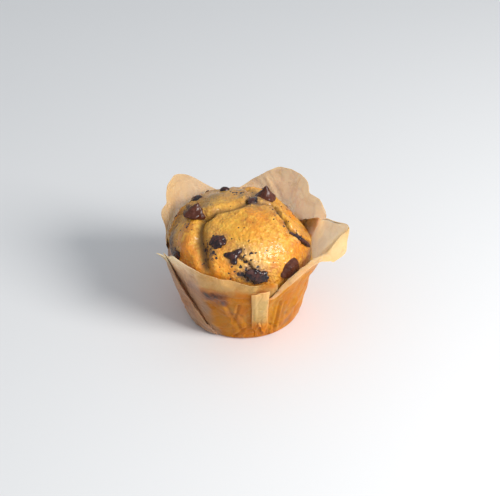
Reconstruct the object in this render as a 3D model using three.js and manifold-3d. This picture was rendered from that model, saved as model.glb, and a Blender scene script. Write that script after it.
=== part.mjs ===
// A muffin with chocolate chips and dark berries, baked in a cup folded from one square of paper.
// Millimetres, +Z up, the foot of the cup centred on the origin, the front facing -Y.

import * as THREE from 'three';
import { mergeVertices } from 'three/addons/utils/BufferGeometryUtils.js';
import Module from 'manifold-3d';

const wasm = await Module();
wasm.setup();

// The cup's cone, measured outside the paper.
const footRadius = 26.8;
const shoulderHeight = 37;
const shoulderRadius = 36;
const shoulderShift = -1.6; // the cup leans this far along X by the shoulder
const paperThickness = 0.6;
const footCorner = 1.2; // rise of the rounded edge round the foot
const leanStart = 0.45; // share of the paper's height at which it starts to lean off the cone

// The crumb's dome is a flattened ball that sits a little to the left of the foot's centre.
const domeCentre = new THREE.Vector3( - 1.7, 0, 37 );
const domeRadius = 33.2;
const domeRise = 21.5;
const leaveWallHeight = 24; // above this the crumb draws away from the paper

const gap = 0.3; // air between pieces that touch

const linerColumns = 80;
const linerRows = 10;
const crumbColumns = 68;
const crumbWallRows = 6;
const crumbDomeRows = 14;

// The paper's cut edge, anticlockwise from the right-hand side: direction in degrees, distance from the axis, height.
const rimKnots = [
	[ 10, 40.6, 48.5 ], // where the right petal's pleat is tucked under the back petal
	[ 24, 38.6, 51 ],
	[ 36, 38.8, 52 ],
	[ 46, 39.3, 55.3 ],
	[ 62, 39.5, 57 ], // back petal
	[ 77, 38.5, 51.5 ],
	[ 90, 37.2, 45 ],
	[ 105, 37, 42 ], // low edge at the back
	[ 119, 38, 48 ],
	[ 136, 39.6, 56.5 ],
	[ 148, 40.2, 59 ], // back left petal
	[ 158, 39.6, 56.5 ],
	[ 169, 38.6, 50 ],
	[ 180, 38.4, 40.5 ],
	[ 193, 41.6, 38.6 ],
	[ 200, 42.6, 40.2 ], // left corner, turned outwards
	[ 210, 39.8, 37.8 ],
	[ 222, 37.8, 38.8 ],
	[ 237, 37.2, 40.3 ],
	[ 260, 36.4, 40 ],
	[ 281, 35.6, 36.8 ],
	[ 289, 35.3, 36.2 ], // end of the layer behind the front strip
	[ 293, 35.3, 29 ],
	[ 300, 36.1, 31 ],
	[ 307, 37, 34.2 ],
	[ 315, 38.6, 37.5 ],
	[ 328, 42.3, 42.3 ],
	[ 342, 44.5, 45.6 ],
	[ 355, 48.3, 47.4 ], // right petal's tip
];

// The front pleat is a strip of folded paper that lies flat on the wall, torn at its lower end.
const strip = { azimuth: - 75, low: 5.5, high: 32, proud: 0.8, sunk: 0.45 };
const stripOutline = [
	[ - 4, 26.5 ], [ 4.1, 27.4 ], [ 3.6, 9 ], [ 3.4, 3.2 ], [ 1.6, 1.4 ], [ 0.6, 4.2 ], [ - 1.6, 3 ], [ - 3.4, 5.4 ],
];

// Cracks in the crust, each a route of directions and tilts from the dome's top, in degrees.
const cracks = [
	{
		depth: 2.2,
		width: 3,
		route: [ [ - 118, 71 ], [ - 127, 56 ], [ - 141, 42 ], [ - 152, 26 ], [ - 143, 12 ], [ 25, 9 ], [ 11, 27 ] ],
	},
	{
		depth: 1.8,
		width: 2.4,
		route: [ [ 11, 27 ], [ - 10, 36 ], [ - 23, 50 ], [ - 22, 64 ], [ - 14, 80 ] ],
	},
	{
		depth: 1.4,
		width: 2.4,
		route: [ [ 25, 9 ], [ 74, 30 ], [ 98, 48 ], [ 96, 66 ] ],
	},
	{
		depth: 1.2,
		width: 2.2,
		route: [ [ - 152, 26 ], [ 178, 46 ], [ 168, 66 ] ],
	},
];

// Parts of the crust that rose more than the rest, or less.
const lobes = [
	{ azimuth: - 48, tilt: 36, height: 1.6, width: 14 },
	{ azimuth: - 160, tilt: 54, height: 1.2, width: 8 },
	{ azimuth: 130, tilt: 34, height: 1, width: 10 },
	{ azimuth: 26, tilt: 50, height: - 2.6, width: 13 }, // the back right sank a little as it cooled
	{ azimuth: 17, tilt: 64, height: - 3, width: 9 },
];

// Chocolate chips: where each sits, how its tip leans from the crust's normal, and its size.
const chipHeight = 7;
const chipRadius = 4.9;
const chipOutline = [ [ 0, 0 ], [ 4.1, 0 ], [ chipRadius, 1.1 ], [ 4.5, 2.6 ], [ 2.7, 4.4 ], [ 1.2, 5.9 ], [ 0, chipHeight ] ];
const chipMiddle = 0.4 * chipHeight;
const chips = [
	{ name: 'chocolate_chip_top', azimuth: 40, tilt: 29, sunk: 2.4, lean: [ 10, - 14 ], scale: [ 1.05, 0.9, 1.05 ] },
	{ name: 'chocolate_chip_left', azimuth: - 167, tilt: 41, sunk: 2.2, lean: [ 0, 30 ], scale: [ 1, 0.95, 0.75 ] },
	{ name: 'chocolate_chip_front_right', azimuth: - 47, tilt: 84, sunk: 2.2, lean: [ 0, 0 ], scale: [ 0.95, 0.95, 0.72 ] },
	{ name: 'chocolate_chip_back', azimuth: 119, tilt: 74, sunk: 2.6, lean: [ 12, 0 ], scale: [ 0.95, 1, 0.8 ] },
	{ name: 'chocolate_chip_back_right', azimuth: 70, tilt: 70, sunk: 2.9, lean: [ 0, 14 ], scale: [ 0.9, 0.95, 0.75 ] },
	{ name: 'chocolate_chip_back_left', azimuth: 155, tilt: 71, sunk: 3.3, lean: [ 0, 0 ], scale: [ 0.9, 0.9, 0.62 ] },
];

// Berries and pieces of burst berry: where each sits, its half sizes and how far it is turned about the normal.
const berries = [
	{ name: 'berry_front_left', azimuth: - 113, tilt: 48, half: [ 3.9, 3.1, 2.2 ], spin: 10 },
	{ name: 'berry_front', azimuth: - 95, tilt: 59, half: [ 3.3, 3, 1.9 ], spin: 30 },
	{ name: 'berry_front_rim', azimuth: - 77, tilt: 81, half: [ 5.2, 3.1, 1.6 ], spin: 0 },
	{ name: 'berry_crown', azimuth: 117, tilt: 28, half: [ 2.6, 2.3, 2.2 ], spin: 0 },
	{ name: 'berry_crack_top', azimuth: 24, tilt: 11, half: [ 2.8, 2.2, 1.6 ], spin: 40 },
	{ name: 'berry_crack_right', azimuth: - 24, tilt: 65, half: [ 2, 5.4, 1.7 ], spin: 6 },
	{ name: 'berry_left', azimuth: 148, tilt: 47, half: [ 2.1, 2.6, 1.6 ], spin: 20 },
	{ name: 'berry_left_rim', azimuth: - 151, tilt: 81, half: [ 2.4, 2, 1.3 ], spin: 0 },
	{ name: 'berry_back', azimuth: 96, tilt: 72, half: [ 4, 3.4, 2.3 ], spin: 25 },
	{ name: 'berry_back_left', azimuth: 137, tilt: 79, half: [ 3.6, 2.9, 1.8 ], spin: - 20 },
	{ name: 'berry_back_right', azimuth: 48, tilt: 82, half: [ 3.8, 3, 2 ], spin: 15 },
];

const finishes = {
	paper: { color: 0xc98a45, roughness: 0.62, metalness: 0 },
	crumb: { color: 0xd9a045, roughness: 0.55, metalness: 0 },
	chocolate: { color: 0x3a1713, roughness: 0.28, metalness: 0 },
	berry: { color: 0x1c1420, roughness: 0.35, metalness: 0 },
};

const radians = THREE.MathUtils.degToRad;
const upwards = new THREE.Vector3( 0, 0, 1 );

// A point on the outside of the plain cone, moved inwards by inset.
function wallPoint( azimuth, height, inset = 0 ) {

	const share = height / shoulderHeight;
	const radius = THREE.MathUtils.lerp( footRadius, shoulderRadius, share ) - inset;
	return new THREE.Vector3(
		shoulderShift * share + radius * Math.cos( azimuth ),
		radius * Math.sin( azimuth ),
		height,
	);

}

// The paper follows the cone at first, then leans off it to meet the cut edge.
function paperPoint( rimPoint, share, inset ) {

	const azimuth = Math.atan2( rimPoint.y, rimPoint.x );
	const height = THREE.MathUtils.lerp( inset > 0 ? paperThickness : 0, rimPoint.z, share );
	const lean = Math.pow( Math.max( 0, share - leanStart ) / ( 1 - leanStart ), 2 );
	const corner = height < footCorner ? ( footCorner - height ) * 0.5 : 0;
	const edgeOnCone = wallPoint( azimuth, rimPoint.z );
	const offset = new THREE.Vector3().subVectors( rimPoint, edgeOnCone ).multiplyScalar( lean );
	return wallPoint( azimuth, height, inset + corner ).add( offset );

}

function rimCurve() {

	const points = rimKnots.map( ( [ degrees, radius, height ] ) => new THREE.Vector3(
		radius * Math.cos( radians( degrees ) ),
		radius * Math.sin( radians( degrees ) ),
		height,
	) );
	return new THREE.CatmullRomCurve3( points, true, 'centripetal' );

}

// One lathe with the right number of points, whose points are then moved to the folded shape.
function movedLathe( profileLength, columns, place ) {

	const profile = [];
	for ( let row = 0; row < profileLength; row ++ ) {

		const onAxis = row === 0 || row === profileLength - 1;
		profile.push( new THREE.Vector2( onAxis ? 0 : 1, row ) );

	}

	const geometry = new THREE.LatheGeometry( profile, columns );
	const position = geometry.attributes.position;
	for ( let column = 0; column <= columns; column ++ ) {

		for ( let row = 0; row < profileLength; row ++ ) {

			const point = place( ( column % columns ) / columns, row );
			position.setXYZ( column * profileLength + row, point.x, point.y, point.z );

		}

	}

	return merged( geometry );

}

// Shared corners only, with the slivers at the poles taken out.
function merged( source ) {

	const geometry = source.clone();
	geometry.deleteAttribute( 'normal' );
	geometry.deleteAttribute( 'uv' );
	const whole = mergeVertices( geometry, 1e-4 );
	const corners = whole.index.array;
	const kept = [];
	for ( let i = 0; i < corners.length; i += 3 ) {

		const [ a, b, c ] = corners.slice( i, i + 3 );
		if ( a !== b && b !== c && c !== a ) kept.push( a, b, c );

	}

	whole.setIndex( kept );
	return whole;

}

function linerGeometry() {

	const curve = rimCurve();
	const rowsInAll = 2 * ( linerRows + 1 ) + 4;
	const halfFoot = footRadius * 0.5;
	return movedLathe( rowsInAll, linerColumns, ( turn, row ) => {

		const rimPoint = curve.getPointAt( turn );
		const azimuth = Math.atan2( rimPoint.y, rimPoint.x );
		const inside = row > linerRows + 2;
		const step = inside ? rowsInAll - 1 - row : row;
		const floor = inside ? paperThickness : 0;
		if ( step === 0 ) return new THREE.Vector3( 0, 0, floor );
		if ( step === 1 ) return new THREE.Vector3( halfFoot * Math.cos( azimuth ), halfFoot * Math.sin( azimuth ), floor );
		return paperPoint( rimPoint, ( step - 2 ) / linerRows, inside ? paperThickness : 0 );

	} );

}

function stripGeometry() {

	const outline = new THREE.Shape( stripOutline.map( ( [ x, y ] ) => new THREE.Vector2( x, y ) ) );
	const geometry = new THREE.ExtrudeGeometry( outline, { depth: strip.proud + strip.sunk, bevelEnabled: false } );
	geometry.translate( 0, 0, - strip.sunk );
	const azimuth = radians( strip.azimuth );
	const foot = wallPoint( azimuth, strip.low );
	const upWall = wallPoint( azimuth, strip.high ).sub( foot ).normalize();
	const across = new THREE.Vector3( - Math.sin( azimuth ), Math.cos( azimuth ), 0 );
	const outwards = new THREE.Vector3().crossVectors( across, upWall );
	geometry.applyMatrix4( new THREE.Matrix4().makeBasis( across, upWall, outwards ).setPosition( foot ) );
	return merged( geometry );

}

// A place on the dome: the point on the smooth ball and the way its surface faces.
function domePlace( azimuthDegrees, tiltDegrees ) {

	const azimuth = radians( azimuthDegrees );
	const tilt = radians( tiltDegrees );
	const around = new THREE.Vector3(
		Math.sin( tilt ) * Math.cos( azimuth ),
		Math.sin( tilt ) * Math.sin( azimuth ),
		Math.cos( tilt ),
	);
	const sizes = new THREE.Vector3( domeRadius, domeRadius, domeRise );
	const point = around.clone().multiply( sizes ).add( domeCentre );
	const normal = around.clone().divide( sizes ).normalize();
	return { point, normal };

}

function distanceToRoute( point, route ) {

	let nearest = Infinity;
	const closest = new THREE.Vector3();
	for ( let i = 1; i < route.length; i ++ ) {

		new THREE.Line3( route[ i - 1 ], route[ i ] ).closestPointToPoint( point, true, closest );
		nearest = Math.min( nearest, closest.distanceTo( point ) );

	}

	return nearest;

}

const crackLines = cracks.map( ( { route } ) => {

	const points = route.map( ( [ azimuth, tilt ] ) => domePlace( azimuth, tilt ).point );
	return new THREE.CatmullRomCurve3( points ).getPoints( 24 );

} );

const bell = ( distance, width ) => Math.exp( - ( ( distance / width ) ** 2 ) );

// How far the crust stands above the smooth ball, with cracks taken down into it.
function crustRelief( point ) {

	let relief = 0;
	for ( const lobe of lobes ) {

		const centre = domePlace( lobe.azimuth, lobe.tilt ).point;
		relief += lobe.height * bell( centre.distanceTo( point ), lobe.width );

	}

	cracks.forEach( ( crack, i ) => {

		relief -= crack.depth * bell( distanceToRoute( point, crackLines[ i ] ), crack.width );

	} );

	return relief;

}

function crumbWallPoint( azimuth, height ) {

	const againstPaper = wallPoint( azimuth, height, paperThickness + gap );
	const equator = new THREE.Vector3(
		domeCentre.x + domeRadius * Math.cos( azimuth ),
		domeCentre.y + domeRadius * Math.sin( azimuth ),
		height,
	);
	const share = THREE.MathUtils.smoothstep( height, leaveWallHeight, domeCentre.z );
	const point = againstPaper.clone().lerp( equator, share );
	const most = Math.hypot( againstPaper.x, againstPaper.y ) / Math.hypot( point.x, point.y );
	return most < 1 ? new THREE.Vector3( point.x * most, point.y * most, height ) : point;

}

function crumbGeometry() {

	const bottom = paperThickness + gap;
	const rowsInAll = 2 + crumbWallRows + crumbDomeRows;
	return movedLathe( rowsInAll, crumbColumns, ( turn, row ) => {

		const azimuth = turn * 2 * Math.PI;
		if ( row === 0 ) return new THREE.Vector3( 0, 0, bottom );
		if ( row === 1 ) return wallPoint( azimuth, bottom, footRadius * 0.5 );
		const wallRow = row - 2;
		if ( wallRow === 0 ) return wallPoint( azimuth, bottom, paperThickness + gap + footCorner * 0.5 );
		if ( wallRow < crumbWallRows ) {

			return crumbWallPoint( azimuth, THREE.MathUtils.lerp( bottom, domeCentre.z, wallRow / crumbWallRows ) );

		}

		const share = ( wallRow - crumbWallRows ) / ( crumbDomeRows - 1 );
		const { point, normal } = domePlace( turn * 360, 90 * ( 1 - share ) );
		const fade = THREE.MathUtils.smoothstep( share, 0, 0.12 );
		return point.addScaledVector( normal, crustRelief( point.clone() ) * fade );

	} );

}

function chipGeometry( scale, grow ) {

	const outline = chipOutline.map( ( [ radius, height ] ) => new THREE.Vector2( radius, height ) );
	const geometry = new THREE.LatheGeometry( outline, 12 );
	geometry.rotateX( Math.PI / 2 ); // the lathe turns about Y, and the chip stands along Z
	geometry.translate( 0, 0, - chipMiddle );
	const wider = 1 + grow / chipRadius;
	geometry.scale( scale[ 0 ] * wider, scale[ 1 ] * wider, scale[ 2 ] * ( 1 + grow / chipMiddle ) );
	return merged( geometry );

}

function berryGeometry( half, grow ) {

	const geometry = new THREE.SphereGeometry( 1, 12, 8 );
	geometry.scale( half[ 0 ] + grow, half[ 1 ] + grow, half[ 2 ] + grow );
	return merged( geometry );

}

// Stands a piece on the crust, with its own upward axis along the crust's normal.
function settle( object, { azimuth, tilt }, lift, turn ) {

	const { point, normal } = domePlace( azimuth, tilt );
	object.position.copy( point ).addScaledVector( normal, lift + crustRelief( point ) );
	object.quaternion.setFromUnitVectors( upwards, normal ).multiply( turn );
	object.updateMatrix();

}

function toSolid( geometry ) {

	return new wasm.Manifold( new wasm.Mesh( {
		numProp: 3,
		vertProperties: new Float32Array( geometry.attributes.position.array ),
		triVerts: new Uint32Array( geometry.index.array ),
	} ) );

}

function toGeometry( solid ) {

	const mesh = solid.getMesh();
	const geometry = new THREE.BufferGeometry();
	geometry.setAttribute( 'position', new THREE.BufferAttribute( mesh.vertProperties, 3 ) );
	geometry.setIndex( new THREE.BufferAttribute( mesh.triVerts, 1 ) );
	return geometry;

}

function namedMesh( name, geometry, finish ) {

	geometry.computeVertexNormals();
	const mesh = new THREE.Mesh( geometry, new THREE.MeshStandardMaterial( finishes[ finish ] ) );
	mesh.name = name;
	return mesh;

}

const muffin = new THREE.Group();
const liner = toSolid( linerGeometry() ).add( toSolid( stripGeometry() ) );
muffin.add( namedMesh( 'paper_liner', toGeometry( liner ), 'paper' ) );

let crumb = toSolid( crumbGeometry() );

function bakeIn( mesh, pocket ) {

	muffin.add( mesh );
	crumb = crumb.subtract( toSolid( pocket.applyMatrix4( mesh.matrix ) ) );

}

for ( const chip of chips ) {

	const mesh = namedMesh( chip.name, chipGeometry( chip.scale, 0 ), 'chocolate' );
	const lean = new THREE.Euler( radians( chip.lean[ 0 ] ), radians( chip.lean[ 1 ] ), 0 );
	const turn = new THREE.Quaternion().setFromEuler( lean );
	settle( mesh, chip, chipMiddle * chip.scale[ 2 ] - chip.sunk, turn );
	bakeIn( mesh, chipGeometry( chip.scale, gap ) );

}

for ( const berry of berries ) {

	const mesh = namedMesh( berry.name, berryGeometry( berry.half, 0 ), 'berry' );
	const turn = new THREE.Quaternion().setFromAxisAngle( upwards, radians( berry.spin ) );
	settle( mesh, berry, 0, turn );
	bakeIn( mesh, berryGeometry( berry.half, gap ) );

}

muffin.add( namedMesh( 'muffin_crumb', toGeometry( crumb ), 'crumb' ) );

export default muffin;
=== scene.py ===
# A muffin in a folded paper liner: the baked crumb, its chips and berries, and the paper.
import math
import bpy
import numpy as np
from mathutils import Matrix, Vector, noise


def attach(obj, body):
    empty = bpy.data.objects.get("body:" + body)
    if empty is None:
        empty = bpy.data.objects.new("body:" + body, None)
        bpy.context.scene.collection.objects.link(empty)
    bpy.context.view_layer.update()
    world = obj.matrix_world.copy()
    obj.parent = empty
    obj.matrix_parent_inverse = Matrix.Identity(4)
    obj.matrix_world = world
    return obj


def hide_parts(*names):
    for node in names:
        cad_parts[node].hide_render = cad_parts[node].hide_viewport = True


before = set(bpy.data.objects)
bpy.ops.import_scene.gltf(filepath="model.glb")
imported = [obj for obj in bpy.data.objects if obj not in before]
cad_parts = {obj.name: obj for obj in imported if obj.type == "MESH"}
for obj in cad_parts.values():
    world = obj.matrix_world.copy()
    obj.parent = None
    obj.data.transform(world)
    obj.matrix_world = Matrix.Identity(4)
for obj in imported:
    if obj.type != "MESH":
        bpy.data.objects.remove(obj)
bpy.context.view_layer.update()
mm = 0.001


def selectOnly(piece):
    if bpy.context.object and bpy.context.object.mode != "OBJECT":
        bpy.ops.object.mode_set(mode="OBJECT")
    bpy.ops.object.select_all(action="DESELECT")
    piece.select_set(True)
    bpy.context.view_layer.objects.active = piece


def clearSelection():
    bpy.ops.object.select_all(action="DESELECT")
    bpy.context.view_layer.objects.active = None


def turnFacesOut(piece):
    selectOnly(piece)
    bpy.ops.object.mode_set(mode="EDIT")
    bpy.ops.mesh.select_all(action="SELECT")
    bpy.ops.mesh.normals_make_consistent(inside=False)
    bpy.ops.object.mode_set(mode="OBJECT")


def readVerts(piece):
    co = np.empty(len(piece.data.vertices) * 3, np.float32)
    piece.data.vertices.foreach_get("co", co)
    return co.reshape(-1, 3).astype(float)


def writeVerts(piece, co):
    piece.data.vertices.foreach_set("co", np.asarray(co, np.float32).ravel())
    piece.data.update()


def paintVerts(piece, name, values):
    layer = piece.data.attributes.new(name, "FLOAT", "POINT")
    layer.data.foreach_set("value", np.asarray(np.clip(values, 0, 1), np.float32))


def smoothstep(low, high, value):
    share = np.clip((value - low) / (high - low), 0, 1)
    return share * share * (3 - 2 * share)


def bell(distance, width):
    return np.exp(-((distance / width) ** 2))


def noiseAt(points, size, seed, octaves=1):
    # Blender's own gradient noise, about -1 to 1, one lump for each size in mm
    shift = Vector((seed * 17.3, seed * 5.1, seed * 9.7))
    total = np.zeros(len(points))
    strength, scale = 1.0, 1.0 / size
    for _ in range(octaves):
        total += strength * np.array([noise.noise(Vector(p) * scale + shift) for p in points])
        strength, scale = strength * 0.5, scale * 2
    return total


def wanderAt(points, size, reach, seed):
    # a sidestep for each point, which makes the outlines of marks ragged
    return np.stack([noiseAt(points, size, seed + k) for k in range(3)], -1) * reach


def cellsAt(points, size, seed):
    # distance to the middle of the nearest cell of a scattered pattern, as a share of the cell size
    shift = Vector((seed * 3.7, seed * 11.9, seed * 7.3))
    return np.array([noise.voronoi(Vector(p) / size + shift)[0][0] for p in points])


def awayFromMiddle(points):
    return points / np.maximum(np.linalg.norm(points, axis=1, keepdims=True), 1e-6)


def distanceToPath(points, path):
    nearest = np.full(len(points), np.inf)
    for a, b in zip(path[:-1], path[1:]):
        along = b - a
        share = np.clip(((points - a) @ along) / max(along @ along, 1e-9), 0, 1)
        nearest = np.minimum(nearest, np.linalg.norm(points - a - share[:, None] * along, axis=1))
    return nearest


def finish(piece, node, material):
    piece.data.materials.clear()
    piece.data.materials.append(material)
    for face in piece.data.polygons:
        face.use_smooth = True
    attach(piece, "root")
    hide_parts(node)


def addNode(tree, kind, values=None, **settings):
    node = tree.nodes.new(kind)
    for name, value in settings.items():
        setattr(node, name, value)
    for name, value in (values or {}).items():
        if isinstance(value, bpy.types.NodeSocket):
            tree.links.new(value, node.inputs[name])
        else:
            node.inputs[name].default_value = value
    return node


def newFinish(name):
    material = bpy.data.materials.new(name)
    material.use_nodes = True
    return material, material.node_tree, material.node_tree.nodes["Principled BSDF"]


def setSockets(shader, values):
    for name, value in values.items():
        shader.inputs[name].default_value = value


def fitShader(tree, shader, look, colour, roughness, normal):
    for name, socket in (("Base Color", colour), ("Roughness", roughness), ("Normal", normal)):
        tree.links.new(socket, shader.inputs[name])
    setSockets(shader, look["finish"])


def painted(tree, name):
    return addNode(tree, "ShaderNodeAttribute", attribute_name=name).outputs["Fac"]


def grain(tree, where, scale, detail=2.0, roughness=0.5, distortion=0.0):
    values = {"Vector": where, "Scale": scale, "Detail": detail,
              "Roughness": roughness, "Distortion": distortion}
    return addNode(tree, "ShaderNodeTexNoise", values).outputs["Fac"]


def stretchTo(tree, value, low, high, newLow=0.0, newHigh=1.0):
    values = {"Value": value, "From Min": low, "From Max": high, "To Min": newLow, "To Max": newHigh}
    return addNode(tree, "ShaderNodeMapRange", values, interpolation_type="SMOOTHSTEP").outputs["Result"]


def combine(tree, operation, first, second):
    return addNode(tree, "ShaderNodeMath", {0: first, 1: second}, operation=operation).outputs["Value"]


def patchy(tree, name, pattern, low, high, least, most=1.0):
    # a painted mark, broken up by a pattern
    return combine(tree, "MULTIPLY", painted(tree, name), stretchTo(tree, pattern, low, high, least, most))


def mixColour(tree, share, first, second, blend="MIX"):
    values = {"Factor": share, "A": first, "B": second}
    node = tree.nodes.new("ShaderNodeMix")
    node.data_type = "RGBA"
    node.blend_type = blend
    for socket in node.inputs:
        if socket.name in values and (socket.type == "RGBA" or socket.identifier == "Factor_Float"):
            value = values[socket.name]
            if isinstance(value, bpy.types.NodeSocket):
                tree.links.new(value, socket)
            else:
                socket.default_value = value
    return next(socket for socket in node.outputs if socket.type == "RGBA")


def bump(tree, height, strength, distance, below=None):
    values = {"Height": height, "Strength": strength, "Distance": distance}
    if below is not None:
        values["Normal"] = below
    return addNode(tree, "ShaderNodeBump", values).outputs["Normal"]


stage = {
    "floorSize": 30.0,
    "floorFinish": {"Base Color": (0.7, 0.7, 0.705, 1), "Roughness": 0.6, "Specular IOR Level": 0.25},
    "elevation": 34.0,  # degrees above the surface
    "distance": 0.557,
    "lens": 85,
    "sensor": 36,
    "aim": (0.0029, 0.0015, 0.0322),
    "keyAzimuth": -32.0,  # light from the front right
    "keyElevation": 33.0,
    "keyDistance": 0.85,
    "keySize": 0.42,
    "keyPower": 9.0,
    "keyColour": (1.0, 0.985, 0.96),
    "keyTarget": (0, 0, 0.03),
    "fillStrength": 0.62,
    "fillColour": (0.9, 0.95, 1.0, 1),
}


def buildStage():
    clearSelection()
    bpy.ops.mesh.primitive_plane_add(size=stage["floorSize"], location=(0, 0, 0))
    floor = bpy.context.object
    floor.name = "studioFloor"
    paint, _, shader = newFinish("paleFloor")
    setSockets(shader, stage["floorFinish"])
    floor.data.materials.append(paint)

    tilt = math.radians(stage["elevation"])
    back = Vector((0, -math.cos(tilt), math.sin(tilt)))
    clearSelection()
    bpy.ops.object.camera_add(location=Vector(stage["aim"]) + stage["distance"] * back)
    camera = bpy.context.object
    camera.rotation_euler = (math.pi / 2 - tilt, 0, 0)
    camera.data.lens = stage["lens"]
    camera.data.sensor_width = stage["sensor"]
    camera.data.clip_start = 0.01
    bpy.context.scene.camera = camera

    azimuth, height = math.radians(stage["keyAzimuth"]), math.radians(stage["keyElevation"])
    level = math.cos(height)
    towards = Vector((math.cos(azimuth) * level, math.sin(azimuth) * level, math.sin(height)))
    clearSelection()
    bpy.ops.object.light_add(type="AREA", location=towards * stage["keyDistance"] + Vector(stage["keyTarget"]))
    key = bpy.context.object
    key.rotation_euler = towards.to_track_quat("Z", "Y").to_euler()
    key.data.shape = "DISK"
    key.data.size = stage["keySize"]
    key.data.energy = stage["keyPower"]
    key.data.color = stage["keyColour"]

    world = bpy.data.worlds.new("softRoom")
    world.use_nodes = True
    fill = {"Color": stage["fillColour"], "Strength": stage["fillStrength"]}
    setSockets(world.node_tree.nodes["Background"], fill)
    bpy.context.scene.world = world
    bpy.context.scene.view_settings.view_transform = "Standard"
    print("stage, camera and light are in place")


crumb = {
    "cuts": (29, 1, 1),  # subdivisions of the starting cube
    "domeCentre": (-1.7, 0.0, 37.0),
    "domeRadius": 33.2,
    "domeRise": 21.5,
    "footRadius": 26.8,  # outside of the paper at the foot
    "shoulderRadius": 36.0,
    "shoulderHeight": 37.0,
    "shoulderShift": -1.6,
    "paperRoom": 1.3,  # from the paper's outside to the crumb
    "bottom": 0.95,
    "domeShare": 0.66,  # share of the starting ball that becomes the dome
    "wallPart": 0.62,  # share of the rest that becomes the wall, before the bottom
    "wander": ((5, 0.9, 1), (1.6, 0.35, 21)),  # ragged outlines of marks: size, reach in mm, seed
    "rimToast": 0.4,  # browner towards the rim
    "toastCloud": 0.18,
    "wallToast": 0.8,  # the part inside the paper
    "crackEdge": 0.2,  # how far a crack's edges stand up, as a share of its depth
    "swell": 0.6,  # broad lumps, in mm
    "fold": 0.28,  # soft folds of batter
    "grain": 0.17,  # fine wrinkles of the crust
    "rawLump": 0.35,  # lumps where the inside shows
    "poreDepth": 0.55,
}


def domePlace(azimuth, tilt):
    # a place on the smooth dome, from its direction and its tilt from the top, in degrees
    azimuth, tilt = np.radians(azimuth), np.radians(tilt)
    around = np.stack([np.sin(tilt) * np.cos(azimuth), np.sin(tilt) * np.sin(azimuth), np.cos(tilt)], -1)
    sizes = np.array([crumb["domeRadius"], crumb["domeRadius"], crumb["domeRise"]])
    normal = around / sizes
    normal = normal / np.linalg.norm(normal, axis=-1, keepdims=True)
    return around * sizes + np.array(crumb["domeCentre"]), normal


def wallPlace(azimuth, height, inset):
    # a place on the liner's cone, moved in from the outside of the paper
    share = height / crumb["shoulderHeight"]
    radius = crumb["footRadius"] + (crumb["shoulderRadius"] - crumb["footRadius"]) * share - inset
    return np.stack([
        crumb["shoulderShift"] * share + radius * np.cos(azimuth),
        radius * np.sin(azimuth),
        height + 0 * azimuth,
    ], -1)


def domePath(route, steps=8):
    # a smooth line on the dome through listed points
    points = np.array([domePlace(a, t)[0] for a, t in route])
    padded = np.vstack([2 * points[0] - points[1], points, 2 * points[-1] - points[-2]])
    line = []
    for i in range(1, len(padded) - 2):
        p0, p1, p2, p3 = padded[i - 1:i + 3]
        for k in range(steps):
            t = k / steps
            line.append(0.5 * (2 * p1 + (p2 - p0) * t + (2 * p0 - 5 * p1 + 4 * p2 - p3) * t * t
                               + (3 * p1 - p0 - 3 * p2 + p3) * t ** 3))
    line.append(points[-1])
    return np.array(line)


# cracks: depth and width in mm, how raw the crumb in them is, how much shade is painted in them, and the route
# (direction, tilt)
cracks = {
    "mainValley": (2.6, 2.6, 0.15, 0.72,
                   [(-118, 76), (-123, 66), (-130, 56), (-139, 46), (-149, 37), (-152, 30)]),
    "crownValley": (1.6, 2.0, 0.1, 0.65,
                    [(-152, 30), (-152, 23), (-143, 13), (-89, 3), (25, 9), (9, 18), (11, 27)]),
    "rightCrack": (2.6, 1.3, 0.1, 1.0,
                   [(9, 27), (-9, 32), (-20, 40), (-25, 50), (-24, 64), (-17, 75), (-8, 88)]),
    "topCrack": (1.5, 1.8, 0.5, 0.4, [(30, 9), (66, 24), (84, 40), (92, 58), (84, 76)]),
    "frontCrack": (1.2, 0.8, 0.8, 0.8, [(-96, 55), (-88, 63), (-82, 68), (-80, 78)]),
    "leftCrack": (1.6, 1.7, 0.3, 0.7, [(-152, 30), (-170, 40), (174, 48), (165, 60), (165, 72), (172, 84)]),
    "backCrack": (2.2, 1.5, 0.6, 0.6, [(92, 58), (112, 60), (130, 55), (148, 52), (165, 60)]),
    "backRightCrack": (1.8, 1.4, 0.5, 0.6, [(84, 40), (60, 52), (38, 54), (14, 60), (2, 74)]),
}

# swellings of the crust: direction, tilt, height and width in mm
lobes = [
    (-52, 40, 1.5, 13), (-20, 26, 0.5, 7), (-160, 52, 1.3, 5), (-150, 59, 1.5, 4.5), (-142, 67, 1.1, 4),
    (155, 24, 1.4, 6.5), (-176, 26, 1, 4), (105, 22, 0.3, 7), (26, 50, -3, 13), (17, 64, -3.8, 9),
    (165, 58, 0.9, 8), (-70, 66, 0.8, 9), (-108, 60, 0.7, 5), (130, 68, 1.2, 8), (70, 66, 1.2, 8),
    (100, 74, 0.8, 6), (-166, 74, 0.8, 6), (-48, 70, 0.5, 8),
]
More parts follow.
